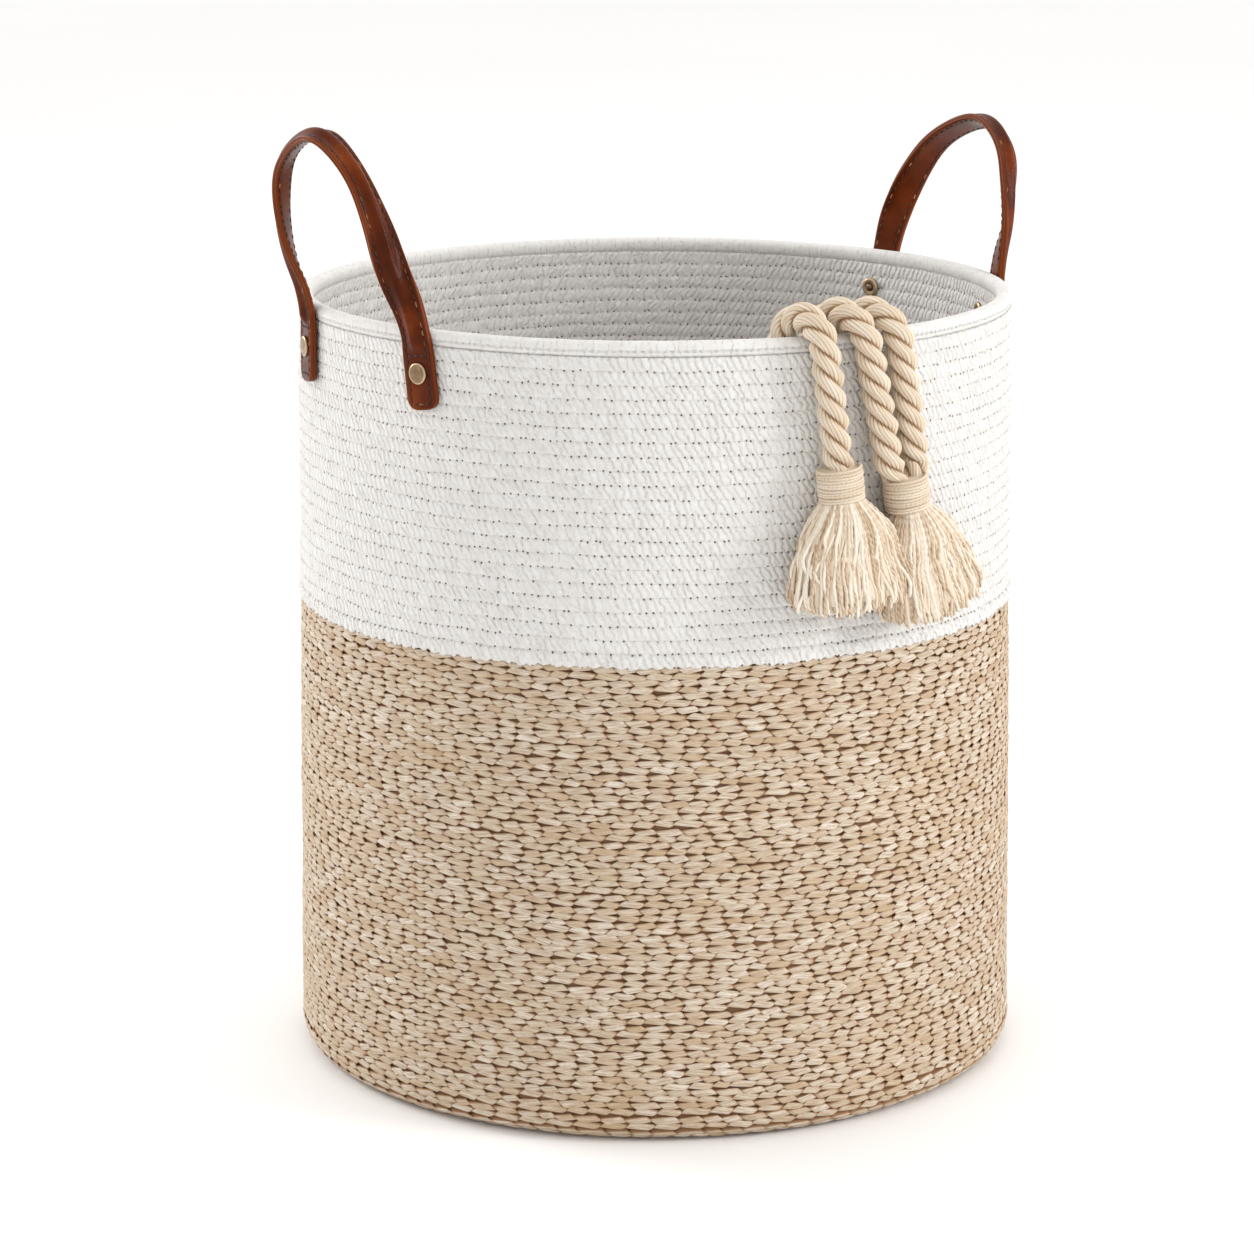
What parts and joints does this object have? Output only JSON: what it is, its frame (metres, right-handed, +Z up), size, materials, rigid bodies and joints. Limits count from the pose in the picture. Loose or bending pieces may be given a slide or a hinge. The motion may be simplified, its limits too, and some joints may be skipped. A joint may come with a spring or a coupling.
{
  "type": "fabric storage bin",
  "caption": "Round coiled storage basket with a white rope band over a natural braid body, swinging leather strap handles and rope tassels over the rim.",
  "frame": {"origin": "middle of the underside, on the surface that the basket stands on", "axes": "+Z up through the middle of the basket; the two handles are at +X and -X; the tassels hang at -Y, the front"},
  "size_m": [0.3112, 0.3027, 0.3707],
  "materials": {
    "jute_braid": "matte",
    "cotton_rope": "matte",
    "cream_cotton": "matte",
    "leather_cognac": "satin",
    "leather_lining": "satin",
    "felt_core": "matte",
    "antique_brass": "satin"
  },
  "bodies": {
    "basket": {"base_coil": "jute_braid", "left_front_rivet_back": "antique_brass", "left_front_rivet_cap": "antique_brass", "left_front_tab": "leather_cognac", "left_front_tab_lining": "leather_lining", "left_rear_rivet_back": "antique_brass", "left_rear_rivet_cap": "antique_brass", "left_rear_tab": "leather_cognac", "left_rear_tab_lining": "leather_lining", "left_rope_bight": "cream_cotton", "lower_wall_braid": "jute_braid", "right_front_rivet_back": "antique_brass", "right_front_rivet_cap": "antique_brass", "right_front_tab": "leather_cognac", "right_front_tab_lining": "leather_lining", "right_rear_rivet_back": "antique_brass", "right_rear_rivet_cap": "antique_brass", "right_rear_tab": "leather_cognac", "right_rear_tab_lining": "leather_lining", "right_rope_a_bight": "cream_cotton", "right_rope_b_bight": "cream_cotton", "rim_cord": "cotton_rope", "rope_keeper_band": "cotton_rope", "upper_wall_rope": "cotton_rope"},
    "left_handle": {"left_handle_filler": "felt_core", "left_handle_lining": "leather_lining", "left_handle_strap": "leather_cognac"},
    "right_handle": {"right_handle_filler": "felt_core", "right_handle_lining": "leather_lining", "right_handle_strap": "leather_cognac"},
    "left_tassel": {"left_rope_drop": "cream_cotton", "left_binding": "cream_cotton", "left_skirt": "cream_cotton"},
    "right_tassel": {"right_rope_a_drop": "cream_cotton", "right_rope_b_drop": "cream_cotton", "right_binding": "cream_cotton", "right_skirt": "cream_cotton"}
  },
  "joints": [
    {"name": "left_handle_swing", "type": "hinge", "parent": "basket", "child": "left_handle", "pos_m": [-0.13437, -0.00951, 0.303], "axis": [0.0706, -0.9975, 0], "range_deg": [-45, 60], "stiffness_Nm_per_rad": 0.12},
    {"name": "right_handle_swing", "type": "hinge", "parent": "basket", "child": "right_handle", "pos_m": [0.13393, -0.00468, 0.303], "axis": [0.0349, 0.9994, 0], "range_deg": [-45, 60], "stiffness_Nm_per_rad": 0.12},
    {"name": "left_tassel_lift", "type": "hinge", "parent": "basket", "child": "left_tassel", "pos_m": [-0.02016, -0.14914, 0.296], "axis": [-0.991, 0.134, 0], "range_deg": [0, 60]},
    {"name": "right_tassel_lift", "type": "hinge", "parent": "basket", "child": "right_tassel", "pos_m": [0.00604, -0.15048, 0.296], "axis": [-0.9992, -0.0401, 0], "range_deg": [0, 60]}
  ]
}
